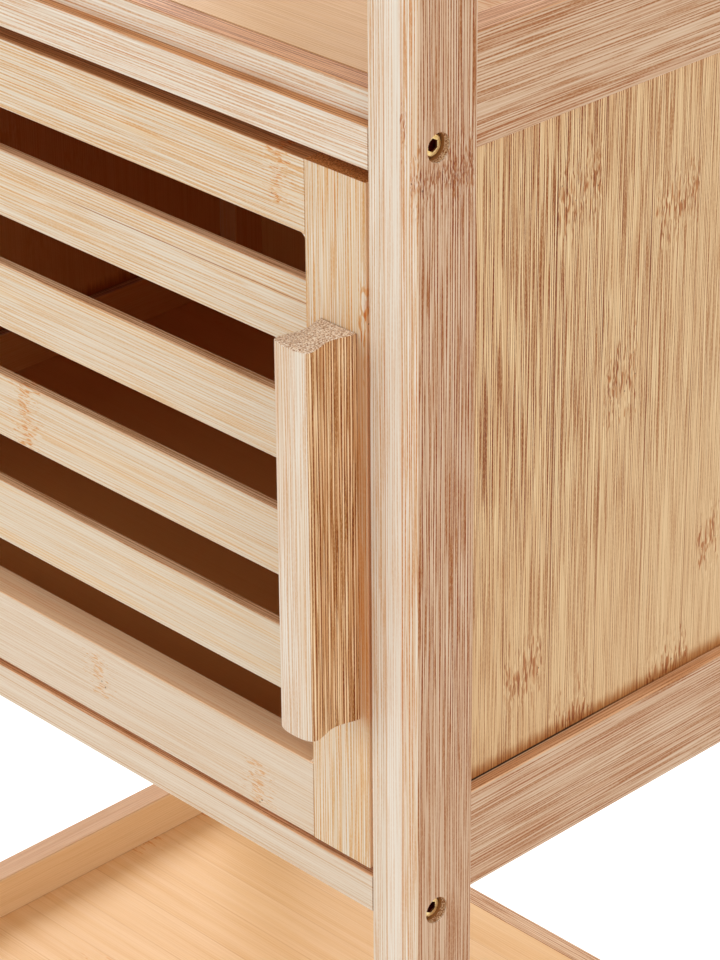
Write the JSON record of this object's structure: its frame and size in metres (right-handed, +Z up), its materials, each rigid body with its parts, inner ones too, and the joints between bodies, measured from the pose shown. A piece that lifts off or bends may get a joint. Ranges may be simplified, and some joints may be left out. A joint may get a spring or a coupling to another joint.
{
  "type": "bathroom shelf unit",
  "caption": "Free-standing bamboo shelf unit with open shelves above and below a cabinet that has a slatted hinged door with a vertical handle.",
  "frame": {"origin": "on the floor, below the middle of the whole part's bounding box, handle included", "axes": "+Z up, front with the door towards -Y, +X to the right seen from the front"},
  "size_m": [0.41, 0.322, 0.9],
  "materials": {
    "bamboo_post": "clear satin lacquer over laminated bamboo strips, vertical grain",
    "bamboo_rail": "clear satin lacquer over laminated bamboo strips, grain along the rail",
    "bamboo_board": "clear satin lacquer over flat-grain bamboo",
    "bamboo_panel": "clear satin lacquer over thin flat-grain bamboo with node marks",
    "bamboo_door": "clear satin lacquer over light bamboo",
    "bamboo_handle": "clear satin lacquer over laminated bamboo, speckled ends",
    "dowel_wood": "plain",
    "yellow_zinc": "yellow zinc plating",
    "steel": "nickel plated",
    "magnet": "ground",
    "white_plastic": "moulded"
  },
  "bodies": {
    "carcass": {"post_front_left": "bamboo_post", "post_front_right": "bamboo_post", "post_back_left": "bamboo_post", "post_back_right": "bamboo_post", "side_rail_left_1": "bamboo_rail", "side_rail_left_2": "bamboo_rail", "side_rail_left_3": "bamboo_rail", "side_rail_left_4": "bamboo_rail", "side_rail_right_1": "bamboo_rail", "side_rail_right_2": "bamboo_rail", "side_rail_right_3": "bamboo_rail", "side_rail_right_4": "bamboo_rail", "front_rail_1": "bamboo_rail", "front_rail_2": "bamboo_rail", "front_rail_3": "bamboo_rail", "front_rail_4": "bamboo_rail", "back_rail_1": "bamboo_rail", "back_rail_2": "bamboo_rail", "back_rail_3": "bamboo_rail", "back_rail_4": "bamboo_rail", "bottom_shelf": "bamboo_board", "cabinet_floor": "bamboo_board", "cabinet_top": "bamboo_board", "top_shelf": "bamboo_board", "side_panel_left": "bamboo_panel", "side_panel_right": "bamboo_panel", "back_panel": "bamboo_panel", "hinge_upper_post_leaf": "steel", "hinge_upper_pin": "steel", "hinge_lower_post_leaf": "steel", "hinge_lower_pin": "steel", "hinge_post_screws": "steel", "catch_body": "white_plastic", "catch_magnet": "magnet", "catch_screws": "steel", "frame_bolts": "yellow_zinc", "threaded_inserts": "yellow_zinc", "alignment_dowels": "dowel_wood", "foot_glides": "white_plastic"},
    "door": {"door_hinge_stile": "bamboo_door", "door_handle_stile": "bamboo_door", "door_top_rail": "bamboo_door", "door_bottom_rail": "bamboo_door", "door_slat_1": "bamboo_door", "door_slat_2": "bamboo_door", "door_slat_3": "bamboo_door", "door_slat_4": "bamboo_door", "door_handle": "bamboo_handle", "handle_screws": "steel", "hinge_upper_door_leaf": "steel", "hinge_lower_door_leaf": "steel", "hinge_door_screws": "steel", "strike_plate": "steel", "strike_screws": "steel"}
  },
  "joints": [
    {"name": "door_hinge", "type": "hinge", "parent": "carcass", "child": "door", "pos_m": [-0.182, -0.14155, 0.4469], "axis": [0, 0, -1], "range_deg": [0, 170]}
  ]
}
